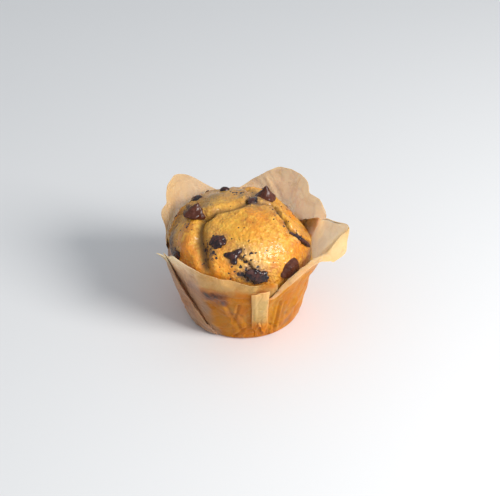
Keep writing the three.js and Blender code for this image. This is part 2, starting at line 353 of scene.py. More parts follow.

# what baking did to the crust in places, and where shade is painted on it: direction, tilt, width in mm and
# strength
crustMarks = {
    "toast": [(-45, 68, 8, 0.4), (-151, 53, 3.5, 0.8), (-142, 66, 5, 0.9), (-100, 74, 4, 0.2),
              (-111, 68, 4, 0.2), (-33, 72, 9, 1), (-41, 78, 8, 0.95), (-60, 84, 7, 0.8),
              (-32, 24, 5, 0.55), (-67, 24, 6, 0.35), (-20, 60, 4, 0.5), (120, 74, 9, 0.6),
              (30, 72, 9, 0.6), (80, 50, 6, 0.5), (-115, 44, 5, 0.3), (0, 74, 8, 0.5)],
    "pale": [(150, 22, 8, 0.9), (178, 26, 6, 0.8), (-140, 20, 6, 0.5), (91, 13, 8, 0.5), (-132, 50, 3, 0.6),
             (-128, 36, 4, 0.4), (20, 24, 5, 0.5), (130, 50, 8, 0.5), (60, 42, 6, 0.5)],
    "raw": [(-81, 61, 3.6, 1), (-78, 67, 3.4, 0.9), (-72, 59, 3.2, 0.7), (-88, 52, 2.6, 0.7),
            (-84, 73, 2.6, 0.6), (-70, 69, 2.8, 0.6), (100, 58, 4, 0.7)],
    "amber": [(-140, 68, 5, 0.9), (-126, 77, 5, 0.8), (-104, 78, 6, 0.9), (-46, 76, 7, 0.9),
              (-30, 66, 7, 0.7), (-70, 36, 4, 0.5), (-24, 44, 4, 0.6), (-108, 62, 4, 0.7),
              (-154, 62, 4, 0.7), (-48, 22, 5, 0.6), (-4, 50, 5, 0.5), (120, 66, 7, 0.7), (70, 60, 8, 0.7),
              (30, 74, 6, 0.7), (170, 74, 6, 0.6)],
    "stain": [(85, 14, 5, 0.25), (62, 19, 4.5, 0.45), (30, 19, 5, 0.6), (130, 12, 4, 0.2),
              (-10, 15, 4, 0.5), (-10, 25, 3.5, 0.5), (-168, 72, 5.5, 0.9), (-160, 84, 5, 0.9),
              (-178, 50, 4, 0.5), (-113, 46, 3.6, 0.8), (-95, 60, 3.2, 0.7), (-81, 82, 5, 0.8),
              (-26, 62, 2.6, 0.7), (145, 50, 4, 0.7), (170, 50, 4, 0.6), (-98, 52, 3, 0.4),
              (96, 72, 6, 0.8), (134, 80, 5, 0.8), (42, 74, 5, 0.8), (-84, 53, 2.6, 0.5)],
    "shade": [(-168, 78, 7, 0.75), (-158, 86, 6, 0.7), (-130, 44, 4.5, 0.35), (-122, 18, 5, 0.22),
              (-146, 30, 4, 0.4), (178, 60, 6, 0.6), (-176, 70, 6, 0.6), (-124, 62, 5, 0.35),
              (170, 34, 4, 0.25)],
    "smudge": [(0, 11, 4.2, 1), (50, 15, 4.2, 0.9), (-31, 9, 2.6, 0.7), (-116, 60, 2.4, 0.9),
               (-119, 68, 1.8, 0.8), (-125, 57, 2.2, 0.8), (-29, 50, 1.9, 1), (-27, 42, 1.7, 1),
               (-17, 33, 1.7, 1), (-80, 80, 4.5, 0.8), (-90, 80, 3, 0.8), (-90, 54, 2.4, 0.6),
               (168, 48, 3.4, 1), (150, 48, 4, 0.9), (163, 69, 3, 0.8), (-165, 80, 4, 0.5),
               (96, 72, 6, 0.6), (136, 79, 5, 0.6)],
    "speck": [(-81, 60, 6, 0.75), (-125, 57, 4, 1), (-119, 67, 4, 1), (-116, 60, 4, 1), (-157, 51, 3, 0.8),
              (-76, 80, 5, 0.9), (-88, 79, 6, 0.9), (-22, 37, 4, 0.7), (-28, 46, 4, 0.8), (-24, 62, 4, 0.8),
              (-104, 44, 5, 0.5), (145, 49, 5, 0.8), (64, 18, 5, 0.9), (100, 20, 5, 0.8), (-14, 30, 3, 0.9),
              (-160, 80, 6, 0.9), (-173, 60, 5, 0.8), (-113, 46, 5, 0.8), (100, 66, 9, 0.7),
              (30, 70, 8, 0.6)],
}


def crumbBody():
    # a cube cut into a fine net of squares, ready to be blown up like batter in a cup
    clearSelection()
    bpy.ops.mesh.primitive_cube_add(size=2, location=(0, 0, 0))
    piece = bpy.context.object
    piece.name = "muffinCrumb"
    bpy.ops.object.mode_set(mode="EDIT")
    bpy.ops.mesh.select_all(action="SELECT")
    for cuts in crumb["cuts"]:
        bpy.ops.mesh.subdivide(number_cuts=cuts)
    bpy.ops.object.mode_set(mode="OBJECT")

    # the cube's points become directions, spread evenly, and the upper ones become the dome
    x, y, z = readVerts(piece).T
    ball = np.stack([a * np.sqrt(1 - b * b / 2 - c * c / 2 + b * b * c * c / 3)
                     for a, b, c in ((x, y, z), (y, z, x), (z, x, y))], -1)
    azimuth = np.arctan2(ball[:, 1], ball[:, 0])
    down = np.arccos(np.clip(ball[:, 2], -1, 1)) / math.pi
    tilt = np.minimum(down / crumb["domeShare"], 1) * 90
    dome, normal = domePlace(np.degrees(azimuth), tilt)

    # below the dome: down the wall, round the foot, in to the middle of the bottom
    below = np.clip((down - crumb["domeShare"]) / (1 - crumb["domeShare"]), 0, 1)
    wallPart, rim = crumb["wallPart"], crumb["domeCentre"][2]
    height = rim + (crumb["bottom"] - rim) * np.clip(below / wallPart, 0, 1)
    wall = wallPlace(azimuth, height, crumb["paperRoom"])
    equator = np.stack([
        crumb["domeCentre"][0] + crumb["domeRadius"] * np.cos(azimuth),
        crumb["domeRadius"] * np.sin(azimuth), height], -1)
    leave = smoothstep(24, rim, height)[:, None]
    mixed = wall * (1 - leave) + equator * leave
    room = np.linalg.norm(wall[:, :2], axis=1) / np.linalg.norm(mixed[:, :2], axis=1)
    mixed[:, :2] *= np.minimum(room, 1)[:, None]
    inwards = np.clip((below - wallPart) / (1 - wallPart), 0, 1)[:, None]
    mixed[:, :2] *= 1 - inwards

    onDome = down <= crumb["domeShare"]
    place = np.where(onDome[:, None], dome, mixed)
    return piece, place, normal, tilt, onDome


def buildCrumb():
    piece, place, normal, tilt, onDome = crumbBody()
    index = np.where(onDome)[0]
    points, tilts = place[index], tilt[index]
    wander = sum(wanderAt(points, *step) for step in crumb["wander"])
    moved = points + wander

    marks = {}
    for name, spots in crustMarks.items():
        strength = np.zeros(len(index))
        for azimuth, tiltDown, width, amount in spots:
            away = np.linalg.norm(moved - domePlace(azimuth, tiltDown)[0], axis=1)
            strength = np.maximum(strength, amount * bell(away, width))
        marks[name] = strength
    marks["toast"] = np.maximum(marks["toast"], crumb["rimToast"] * smoothstep(55, 90, tilts))
    marks["toast"] += crumb["toastCloud"] * noiseAt(points, 9, 31, 2)

    lift = np.zeros(len(index))
    for azimuth, tiltDown, height, width in lobes:
        centre = domePlace(azimuth, tiltDown)[0]
        lift += height * bell(np.linalg.norm(points - centre, axis=1), width)
    shade = marks["shade"]
    for depth, width, rawness, darkness, route in cracks.values():
        away = distanceToPath(moved, domePath(route))
        lift -= depth * bell(away, width)
        lift += crumb["crackEdge"] * depth * bell(away - width * 1.9, width * 0.8)
        marks["raw"] = np.maximum(marks["raw"], rawness * bell(away, width * 1.15))
        # painted shade along each crack
        shade = np.maximum(shade, darkness * bell(away, width * 1.1))
    raw = marks["raw"]

    # lumps, wrinkles and pores of baked batter
    fold = 1 - np.abs(noiseAt(points, 3.4, 5, 2))
    bubble = cellsAt(points, 1.5, 6)
    lift += noiseAt(points, 11, 4, 2) * crumb["swell"] + (fold - 0.8) * crumb["fold"]
    frontRight = bell(np.linalg.norm(points - domePlace(-60, 50)[0], axis=1), 14)
    rougher = 0.35 + 0.9 * smoothstep(-0.25, 0.35, noiseAt(points, 9, 11) + 0.5 * frontRight)
    lift += (0.4 - bubble) * crumb["grain"] * (rougher + 2.0 * raw)
    lift += noiseAt(points, 0.9, 7) * crumb["grain"] * 0.6 * rougher
    pore = smoothstep(0.3, 0.12, cellsAt(moved, 1.9, 8))
    pore *= smoothstep(0.1, 0.6, raw + 0.15 * noiseAt(points, 4, 9))
    lift -= crumb["poreDepth"] * pore
    lift += raw * noiseAt(points, 1.7, 10, 2) * crumb["rawLump"]

    # the rim stays where the wall starts
    lift *= 0.15 + 0.85 * smoothstep(90, 80, tilts)
    place[index] += normal[index] * lift[:, None]
    writeVerts(piece, place * mm)

    # painted shade in the pores as well
    marks["shade"] = np.maximum(shade, pore * 0.8)
    for name, strength in marks.items():
        whole = np.full(len(place), crumb["wallToast"] if name == "toast" else 0.0)
        whole[index] = strength
        paintVerts(piece, name, whole)
    print("the crumb is baked:", len(piece.data.polygons), "faces")
    return piece


crust = {
    "golden": (0.68, 0.345, 0.03, 1),
    "toasted": (0.36, 0.105, 0.006, 1),
    "glow": (0.8, 0.47, 0.065, 1),
    "amber": (0.8, 0.27, 0.008, 1),
    "pale": (0.34, 0.2, 0.055, 1),
    "inside": (0.78, 0.46, 0.15, 1),
    "juice": (0.22, 0.15, 0.115, 1),
    "shadow": (0.06, 0.022, 0.003, 1),
    "smudge": (0.075, 0.036, 0.03, 1),
    "speck": (0.02, 0.008, 0.01, 1),
    "pebble": (0.93, 0.6, 0.2, 1),
    "speckSize": 0.46,
    "roughness": (0.3, 0.56),
    "finish": {"Coat Weight": 0.38, "Coat Roughness": 0.16, "Specular IOR Level": 0.4,
               "Subsurface Weight": 0.12, "Subsurface Radius": (0.9, 0.45, 0.15), "Subsurface Scale": 0.0012},
}


def bakedCrust():
    material, tree, shader = newFinish("bakedCrust")
    where = addNode(tree, "ShaderNodeTexCoord").outputs["Object"]
    broad = grain(tree, where, 120, 3, 0.6)
    fine = grain(tree, where, 620, 3, 0.65)
    cells = {"Vector": where, "Scale": 900.0}
    pebble = addNode(tree, "ShaderNodeTexVoronoi", cells, feature="SMOOTH_F1").outputs["Distance"]

    toastShare = combine(tree, "ADD", painted(tree, "toast"), stretchTo(tree, broad, 0.35, 0.65, -0.3, 0.34))
    toastShare = combine(tree, "ADD", toastShare, stretchTo(tree, fine, 0.35, 0.65, -0.2, 0.2))
    colour = mixColour(tree, toastShare, crust["golden"], crust["toasted"])
    colour = mixColour(tree, painted(tree, "pale"), colour, crust["pale"])
    pebbleShare = stretchTo(tree, pebble, 0.1, 0.6, 0.0, 0.35)
    colour = mixColour(tree, pebbleShare, colour, crust["pebble"], "MULTIPLY")
    colour = mixColour(tree, patchy(tree, "amber", broad, 0.36, 0.56, 0.25), colour, crust["amber"])
    glow = stretchTo(tree, grain(tree, where, 300, 4, 0.65, 0.5), 0.5, 0.68, 0.0, 0.6)
    glow = combine(tree, "MULTIPLY", glow, stretchTo(tree, painted(tree, "pale"), 0.0, 1.0, 1.0, 0.4))
    colour = mixColour(tree, glow, colour, crust["glow"])
    colour = mixColour(tree, patchy(tree, "raw", fine, 0.38, 0.56, 0.55), colour, crust["inside"])
    stain = patchy(tree, "stain", grain(tree, where, 330, 4, 0.7), 0.36, 0.62, 0.25)
    colour = mixColour(tree, stain, colour, crust["juice"])
    smudge = patchy(tree, "smudge", grain(tree, where, 420, 4, 0.7), 0.38, 0.53, 0.1)
    colour = mixColour(tree, smudge, colour, crust["smudge"])
    # painted shade: the crust darkens towards the shadow colour in valleys, cracks, pores and on the side away
    # from the light
    shade = painted(tree, "shade")
    colour = mixColour(tree, stretchTo(tree, shade, 0.15, 1.0, 0.0, 0.95), colour, crust["shadow"])

    # small dark bits of berry skin
    cells = {"Vector": where, "Scale": 480.0}
    bits = addNode(tree, "ShaderNodeTexVoronoi", cells).outputs["Distance"]
    ragged = combine(tree, "ADD", bits, stretchTo(tree, fine, 0.3, 0.7, -0.24, 0.24))
    room = combine(tree, "MULTIPLY", painted(tree, "speck"), crust["speckSize"])
    bitShare = stretchTo(tree, combine(tree, "SUBTRACT", room, ragged), 0.0, 0.05)
    colour = mixColour(tree, bitShare, colour, crust["speck"])

    dullness = stretchTo(tree, grain(tree, where, 260, 3, 0.6), 0.3, 0.7, *crust["roughness"])
    dullness = combine(tree, "ADD", dullness, combine(tree, "MULTIPLY", shade, 0.4))
    zone = stretchTo(tree, grain(tree, where, 150, 2), 0.42, 0.6, 0.25, 1.0)
    relief = bump(tree, combine(tree, "MULTIPLY", pebble, zone), 0.6, 0.0008)
    relief = bump(tree, fine, 0.6, 0.001, relief)
    relief = bump(tree, grain(tree, where, 1900, 2), 0.35, 0.0003, relief)
    fitShader(tree, shader, crust, colour, dullness, relief)
    return material


paper = {
    "thickness": 0.15,
    "columnStep": 0.78,  # mm along the cut edge
    "wallRows": 70,
    "lipRows": 9,
    "footRows": 9,
    "leanStart": 0.45,  # share of the height at which the paper starts to lean off the cone
    "footRound": 1.3,
    # facets that crumpling left: size, seed, depth, and how much deeper they are where the paper is free
    "crumples": ((9.0, 2, 0.6, 0.6), (5.5, 5, 0.2, 0), (16, 7, 0.35, 1)),
    "pressed": 0.5,  # the wall lies against the cake: deepest wrinkle inwards, in mm
    "creased": 0.95,  # the same with a crease in it
    # how high the grease has climbed: direction, height
    "soakLine": ((0, 27), (20, 32), (60, 37), (100, 36), (150, 38), (185, 34), (200, 32), (230, 34),
                 (250, 33.5), (280, 31.5), (291, 31), (294, 25), (305, 33), (318, 39), (330, 39.5), (345, 33),
                 (360, 27)),
    "foldGap": 0.4,  # room added between rows of the table, so that folds get points too
    "lowest": 0.08,  # height of the sheet above the table, in mm
}

plainLip = (0.08, 0.9)

# The sheet, anticlockwise from under the front strip. Each row is one upright line of the paper:
# direction at the foot, direction at the edge, distance and height of the edge, how far it lies
# out of the cone, and the lip that turns out beyond it (outwards, upwards).
sheetLines = [
    # right front panel, its edge climbing to the right petal
    (-79, -80, 33.3, 24.5, 0.45), (-75, -74, 33.6, 25.8, 0.45, (0.4, 0.2)),
    (-69, -66.5, 34.1, 28.4, 0.4, (0.9, -0.9)), (-64, -60, 35.2, 33.9, 0.3, (1.5, -1.9)),
    (-57, -53.8, 36.3, 37.4, 0.2, (1.9, -2.2)),
    (-47, -45.6, 37.5, 40.6, 0.1, (2.1, -1.3)), (-38, -37.5, 38.3, 41.9, 0.1, (2.7, -0.6)),
    (-31, -31.5, 39.9, 42.6, 0.1, (4, -0.7)), (-26, -27.5, 42, 43, 0.1, (3, -2.2)),
    (-23, -25, 43.3, 44.2, 0.1, (3, -5.2)),
    (-16, -18, 44.5, 45.8, 0.1, (4, -6.1)), (-8, -10, 46.4, 46.8, 0.1, (1.3, -3.9)),
    (-2, -4, 48.2, 47.3, 0.1, (0.3, 0)),
    # right petal back to where it is tucked in
    (2, 1, 44.2, 47.6, 0.1), (5, 5.5, 40.7, 47.2, 0.1), (12, 12, 38.7, 44.8, -0.1),
    (18, 21, 37, 41.4, -0.4), (22, 29.5, 35.3, 38.2, -0.6), (23.5, 41, 35.1, 34.6, -0.7),
    (24, 30, 36.3, 37.5, 0.1),
    # back petal, with a ridge where it turns
    (24.4, 17, 40.6, 42.8, 0.9), (26, 17.5, 41.2, 45, 0.8), (29, 23, 40, 47.8, 0.5),
    (33, 30, 38.8, 49.4, 0.3), (36, 35, 38.2, 50.2, 0), (39, 38, 38.7, 52.4, 0.2),
    (43, 42, 39.1, 54.9, 0.2), (49, 48, 39.5, 56.3, 0.2), (56, 56, 39.6, 57.1, 0.2),
    (63, 63, 39.5, 56.7, 0.2), (70, 70, 38.9, 54.8, 0.2), (77, 77, 38.3, 51.6, 0.2),
    (84, 84, 37.6, 48.2, 0.2), (90, 90, 37.1, 45.2, 0.2), (97, 99, 36.9, 42.8, 0.3),
    (102, 109, 37.1, 41.6, 0.6), (103, 100, 36.8, 41.9, 0), (104, 107, 36.4, 42.6, -0.6),
    # back left petal
    (109, 112, 36.9, 44.9, 0), (116, 119, 37.6, 48.2, 0.2), (124, 127, 38.6, 52.8, 0.2),
    (133, 136, 39.5, 57.1, 0.2), (141, 145, 40.1, 59.2, 0.2), (148, 153, 39.9, 58.6, 0.2),
    (154, 160, 39, 55, 0.2), (158, 163.5, 38, 51.2, 0.2), (163, 170, 38.4, 50.2, 0.3),
    (168, 175, 37.4, 46.6, 0.4), (171, 179, 36.3, 40.6, 0.5), (173, 183, 36.3, 36.4, 0.6),
    (174, 177, 35.9, 37.2, 0), (175, 182, 35.6, 34.8, -0.6),
    # left corner, turned outwards, and the big pleat below it
    (184, 189, 35.8, 33, 0), (192, 195, 36.6, 34, 0.9),
    (197, 198.5, 37.4, 34.8, 1.8, (2.2, 3)), (201, 200.5, 38, 34.6, 2.3, (4.8, 5.8)),
    (220, 205, 38, 35.2, 2.5, (3.6, 6.6)), (243, 209.5, 37.8, 35.4, 2.1, (2.8, 6.6)),
    (244, 203, 36.8, 35, 0.3, (3, 6)), (245, 209, 36.5, 35, -0.6, (2.8, 6.4)),
    # left front panel, and its end tucked in behind the front strip
    (248, 214, 36.6, 35.4, -0.4, (2.6, 8)), (253, 222, 36.9, 37, 0, (1.6, 5.9)),
    (261, 237, 36.9, 38, 0.1, (0.4, 2.7)), (269, 256, 36.4, 38.8, 0.1, (0.2, 1.4)),
    (275, 270, 35.9, 37.2, 0.1, (0.3, 1.2)), (279, 277.6, 35.7, 36.2, 0.3, (0.7, 0.9)),
    (281, 281, 34.9, 36.4, -0.4), (284, 290, 34.9, 36.4, -0.62), (287, 295, 35, 35.6, -0.62),
    (288, 296.5, 34.6, 30, -0.62),
]


def smoothThrough(knots, values, at):
    # a smooth curve through given values that never overshoots them
    step = np.diff(knots)
    slope = np.diff(values) / step
    knotSlope = np.zeros(len(values))
    same = slope[:-1] * slope[1:] > 0
    mean = 2 * slope[:-1] * slope[1:] / np.where(same, slope[:-1] + slope[1:], 1)
    knotSlope[1:-1] = np.where(same, mean, 0)
    i = np.clip(np.searchsorted(knots, at) - 1, 0, len(step) - 1)
    t = (at - knots[i]) / step[i]
    return (values[i] * (1 + 2 * t) * (1 - t) ** 2 + knotSlope[i] * step[i] * t * (1 - t) ** 2
            + values[i + 1] * t * t * (3 - 2 * t) + knotSlope[i + 1] * step[i] * t * t * (t - 1))


def sheetTable():
    # the sheet's upright lines, resampled every columnStep
    rows = []
    for line in sheetLines:
        lip = line[5] if len(line) > 5 else plainLip
        edge = (line[2], line[3]) if len(line) > 5 else (line[2] - lip[0], line[3] - lip[1])
        rows.append([line[0], line[1], edge[0], edge[1], line[4], lip[0], lip[1]])
    rows = np.array(rows, float)
    azimuth = np.radians(rows[:, 1])
    reach = rows[:, 2]
    edge = np.stack([reach * np.cos(azimuth), reach * np.sin(azimuth), rows[:, 3], rows[:, 4] * 2], -1)
    steps = np.linalg.norm(np.diff(edge, axis=0), axis=1) + paper["foldGap"]
    along = np.concatenate([[0], np.cumsum(steps)])
    at = np.linspace(0, along[-1], int(along[-1] / paper["columnStep"]))
    return np.stack([smoothThrough(along, column, at) for column in rows.T], -1)


def sheetPlaces(table):
    # every point of the folded sheet: rows from the middle of the foot to the lip
    footAz, edgeAz = np.radians(table[:, 0]), np.radians(table[:, 1])
    edgeR, edgeZ, layer, lipOut, lipUp = table[:, 2:].T
    rows = []
    foot = paper["lowest"] + np.maximum(0, -layer) * 0.3
    for k in range(paper["footRows"]):
        reach = (crumb["footRadius"] - paper["footRound"] * 0.6) * (k + 0.02) / (paper["footRows"] - 1 + 0.02)
        rows.append(np.stack([reach * np.cos(footAz), reach * np.sin(footAz), foot], -1))
    for k in range(1, paper["wallRows"] + 1):
        share = (k / paper["wallRows"]) ** 1.05
        height = np.maximum(edgeZ * share, foot)
        azimuth = footAz + (edgeAz - footAz) * share
        rounding = 0.6 * np.maximum(0, paper["footRound"] - height)
        side = wallPlace(azimuth, height, rounding - layer * (0.25 + 0.75 * share))
        onCone = wallPlace(edgeAz, edgeZ, -layer)
        atEdge = np.stack([edgeR * np.cos(edgeAz), edgeR * np.sin(edgeAz), edgeZ], -1)
        lean = max(0, share - paper["leanStart"]) / (1 - paper["leanStart"])
        rows.append(side + (atEdge - onCone) * lean ** 2)
    lip = np.stack([lipOut * np.cos(edgeAz), lipOut * np.sin(edgeAz), lipUp], -1)
    corner = rows[-1]
    for k in range(1, paper["lipRows"] + 1):
        rows.append(corner + lip * (k / paper["lipRows"]))
    return np.array(rows)


def creasedField(points, size, seed):
    # shallow bowls that meet along straight ridges, some pushed in and some out
    bowls = cellsAt(points, size, seed) ** 2
    sign = np.clip(noiseAt(points, size * 1.9, seed + 40) * 3.2, -1, 1)
    return (bowls - 0.22) * 2.6 * sign


# creases pressed into the wall: direction and height of both ends, then depth and half width
creases = [
    ((-92, 6), (-103, 26), 0.35, 1.6), ((-60, 3), (-57, 22), 0.6, 1.2), ((-54, 5), (-51, 20), 0.3, 1.2),
    ((-46, 12), (-34, 33), 0.22, 2.8), ((-88, 3), (-72, 5), 0.4, 0.9), ((-66, 2), (-55, 7), 0.5, 0.9),
    ((-68, 10), (-57, 4), 0.5, 1), ((-62, 26), (-52, 30), 0.35, 1.2),
    ((-141, 1), (-152, 9.5), 1.1, 0.7), ((-146, 2), (-157, 10), -0.35, 0.8),
    ((-128, 10), (-147, 30), 0.3, 1.5), ((-100, 2), (-88, 8), 0.35, 1),
    ((-120, 22), (-92, 17), 0.25, 1.4), ((-112, 30), (-84, 28), 0.3, 1.6), ((-98, 12), (-92, 24), 0.3, 1),
    ((-15, 4), (-10, 30), 0.5, 1.8), ((10, 3), (16, 28), 0.4, 1.8), ((45, 5), (52, 34), 0.4, 2),
    ((75, 3), (70, 30), 0.4, 1.6), ((128, 4), (124, 34), 0.4, 1.8), ((150, 3), (156, 30), 0.5, 1.6),
    ((8, 38), (3, 46), 0.4, 1.4), ((-24, 22), (-12, 44), 0.35, 1.5), ((168, 30), (160, 50), 0.4, 1.6),
    ((60, 40), (72, 52), 0.35, 1.6), ((48, 36), (44, 54), 0.35, 1.6), ((140, 38), (134, 54), 0.35, 1.8),
]


def creaseRelief(points):
    lift = np.zeros(len(points))
    for (a0, z0), (a1, z1), depth, width in creases:
        ends = [wallPlace(np.radians(a), z, 0) for a, z in ((a0, z0), (a1, z1))]
        away = distanceToPath(points, ends)
        lift -= 1.4 * depth * np.maximum(0, 1 - away / width) ** 1.3
        lift += 0.6 * depth * bell(away - width * 1.3, width * 0.6)
    return lift


def gridNormals(grid):
    normal = np.cross(np.gradient(grid, axis=1), np.gradient(grid, axis=0))
    return normal / np.maximum(np.linalg.norm(normal, axis=-1, keepdims=True), 1e-9)


# what grease and berries did to the paper, and where light and shade are painted on it: direction, height,
# width in mm, strength
paperMarks = {
    "soak": [(-67, 35, 3.2, 1), (58, 46, 15, 0.48), (80, 45, 8, 0.5), (40, 43, 7, 0.5), (150, 42, 9, 0.36),
             (-72, 30, 4, 0.8), (-27, 33, 3, 0.7)],
    # paler, drier paper, and painted light where the right petal is lit through from behind
    "bright": [(14, 42, 6, 0.95), (4, 43, 6, 0.6), (-12, 41, 7, 0.35), (-22, 38, 6, 0.3),
               (-120, 37, 9, 0.45), (-105, 38, 9, 0.5), (-140, 35, 8, 0.35), (-160, 37, 6, 0.3)],
    "blot": [(-104, 29, 2.9, 1), (-109, 28.6, 3.6, 1), (-115, 28, 3.1, 1), (-48, 12, 1.5, 0.5),
             (-42, 5, 2.5, 0.4), (120, 22, 4, 0.7)],
    # cream paper, with painted light on the right petal and on the left corner
    "creamAndLit": [(-12, 42, 10, 1), (-26, 41, 6, 0.5), (-151, 42, 7.5, 1), (-140, 42, 7, 1),
              (-128, 40, 5, 0.7)],
    # grease-soaked paper in the pleats and behind the front strip, darkened with painted shade where they lie
    # in shadow
    "greasyAndShaded": [(-71, 35.5, 4.2, 1), (40, 36, 4.5, 0.8), (50, 36, 4, 0.5)],
    "stain": [(-112, 26.5, 4.5, 1), (-106, 25.5, 3.5, 1), (-118, 26, 3, 0.8), (-135, 30, 10, 0.55),
              (-150, 30, 9, 0.45), (-145, 16, 10, 0.4), (-100, 18, 6, 0.3), (-160, 22, 8, 0.5),
              (-43, 6, 4, 0.5), (-50, 13, 4, 0.4), (-170, 32, 6, 0.5), (60, 20, 8, 0.4), (140, 24, 8, 0.4)],
    # grease blotches, and painted shade in the gap behind the front strip
    "blotchAndShade": [(50, 50, 4, 0.9), (64, 53, 4.5, 1), (72, 50, 5, 0.9), (58, 45, 4, 0.5), (78, 46, 4, 0.7),
               (40, 46, 3, 0.35), (-14, 42, 2, 0.4), (-20, 39, 2, 0.5), (-110, 38, 4, 0.4),
               (-88, 36.5, 4, 0.4), (-71, 34.8, 3, 0.8)],
}


def markPaper(piece, points):
    # grease has soaked in where the paper lies on the crumb, up to a ragged line below the edge
    azimuth = np.degrees(np.arctan2(points[:, 1], points[:, 0] + 1))
    ragged = noiseAt(points, 9, 51, 2) * 2.2 + noiseAt(points, 3, 52) * 0.5
    front = np.interp(np.mod(azimuth, 360), *zip(*paper["soakLine"]))
    soak = smoothstep(3.2, -3.2, points[:, 2] - front + ragged * 1.3)
    soak *= 0.86 + 0.25 * noiseAt(points, 6, 53, 2)
    marks = {"soak": soak}
    rough = wanderAt(points, 5, 1.8, 54)
    for name, spots in paperMarks.items():
        for direction, height, width, amount in spots:
            middle = wallPlace(np.radians(direction), height, -0.1 * max(0, height - 20))
            away = (points + rough - middle) * np.array([1, 1, 1.35])
            marks[name] = np.maximum(marks.get(name, 0), amount * bell(np.linalg.norm(away, axis=1), width))
    # the left of the wall is greyed by juice, up to a slanting line
    slant = azimuth + 112 + 0.33 * points[:, 2] + rough[:, 0] * 2.5
    veil = 0.85 * smoothstep(3, -3, slant) * smoothstep(-72, -50, slant) * (0.8 + 0.5 * noiseAt(points, 7, 57))
    backPetal = smoothstep(38, 46, points[:, 2]) * smoothstep(100, 115, azimuth)
    marks["veil"] = np.maximum(veil, 0.3 * backPetal)
    for name, strength in marks.items():
        paintVerts(piece, name, strength)


def buildSheet():
    table = sheetTable()
    grid = sheetPlaces(table)
    rowsInAll, columns = grid.shape[:2]
    flat = grid.reshape(-1, 3)
    # away from the cake on every layer, also where the sheet runs backwards in a fold
    outward = gridNormals(grid).reshape(-1, 3)
    facing = outward[:, 0] * flat[:, 0] + outward[:, 1] * flat[:, 1]
    outward *= np.where(facing < 0, -1, 1)[:, None]
    height = flat[:, 2]
    free = smoothstep(30, 44, height)
    wrinkle = noiseAt(flat, 18, 12) * (0.25 + free)
    for size, seed, depth, more in paper["crumples"]:
        wrinkle += creasedField(flat, size, seed) * depth * (1 + more * free)
    wrinkle = np.where(height < 33, np.maximum(wrinkle, -paper["pressed"]), wrinkle)
    wrinkle = np.maximum(wrinkle + creaseRelief(flat), -paper["creased"])
    wrinkle *= smoothstep(0.3, 2.5, height)
    # it lies flat below the strip
    direction = np.degrees(np.arctan2(flat[:, 1], flat[:, 0] + 0.8))
    covered = smoothstep(12, 8, np.abs(direction - frontStrip["azimuth"])) * smoothstep(34, 31, height)
    wrinkle *= 1 - 0.9 * covered
    moved = (flat + outward * wrinkle[:, None]).reshape(grid.shape)
    moved[..., 2] = np.maximum(moved[..., 2], paper["lowest"])

    clearSelection()
    bpy.ops.mesh.primitive_grid_add(x_subdivisions=columns - 1, y_subdivisions=rowsInAll - 1, size=2)
    piece = bpy.context.object
    piece.name = "paperLiner"
    sheet = readVerts(piece)
    column = np.rint((sheet[:, 0] + 1) / 2 * (columns - 1)).astype(int)
    row = np.rint((sheet[:, 1] + 1) / 2 * (rowsInAll - 1)).astype(int)
    writeVerts(piece, moved[row, column] * mm)
    return piece


frontStrip = {
    "azimuth": -75.4,
    "low": 4.0,
    "high": 32.4,
    "width": 8.0,
    "proud": 1.05,  # how far its middle stands off the cone, in mm
    "least": 0.78,  # and how far any of it does at least
}


def buildStrip():
    # the front pleat's outer layer: a strip pressed on the wall, torn at its lower end
    clearSelection()
    bpy.ops.mesh.primitive_grid_add(x_subdivisions=24, y_subdivisions=70, size=2)
    piece = bpy.context.object
    piece.name = "paperStrip"
    sheet = readVerts(piece)
    across, up = sheet[:, 0], (sheet[:, 1] + 1) / 2
    # the torn end: a notch in its middle, and shorter at both sides
    torn = 0.02 + 0.2 * bell(across + 0.12, 0.34) - 0.04 * bell(across - 0.6, 0.3)
    torn += 0.13 * smoothstep(-0.3, -1, across) + 0.12 * smoothstep(0.6, 1, across)
    torn += 0.012 * np.sin(across * 19)
    share = (torn + (1 - torn) * up) * (1 - 0.03 * smoothstep(0.2, -1, across) * up)
    height = frontStrip["low"] + (frontStrip["high"] - frontStrip["low"]) * share
    half = frontStrip["width"] / 2 * (0.9 + 0.1 * share + 0.02 * np.sin(share * 9))
    radius = crumb["footRadius"] + 0.25 * height
    azimuth = math.radians(frontStrip["azimuth"]) + (across * half + 0.3 * (1 - share)) / radius
    lift = frontStrip["proud"] * (0.85 + 0.5 * share ** 2) - 0.3 * np.abs(across) ** 4
    points = wallPlace(azimuth, height, 0)
    # crumples, two upright creases, two level ones and the curled tip
    lift += creasedField(points, 5.0, 9) * 0.28 + noiseAt(points, 6, 21) * 0.12
    lift += 0.22 * bell(across + 0.55, 0.18) - 0.2 * bell(across - 0.1, 0.12) * smoothstep(0.5, 0.1, share)
    lift -= 0.18 * bell(share - 0.5 - 0.04 * across, 0.02) + 0.2 * bell(share - 0.27 + 0.05 * across, 0.02)
    lift += 1.1 * bell(up, 0.05) * bell(across + 0.15, 0.3)
    writeVerts(piece, wallPlace(azimuth, height, -np.maximum(lift, frontStrip["least"])) * mm)
    return piece


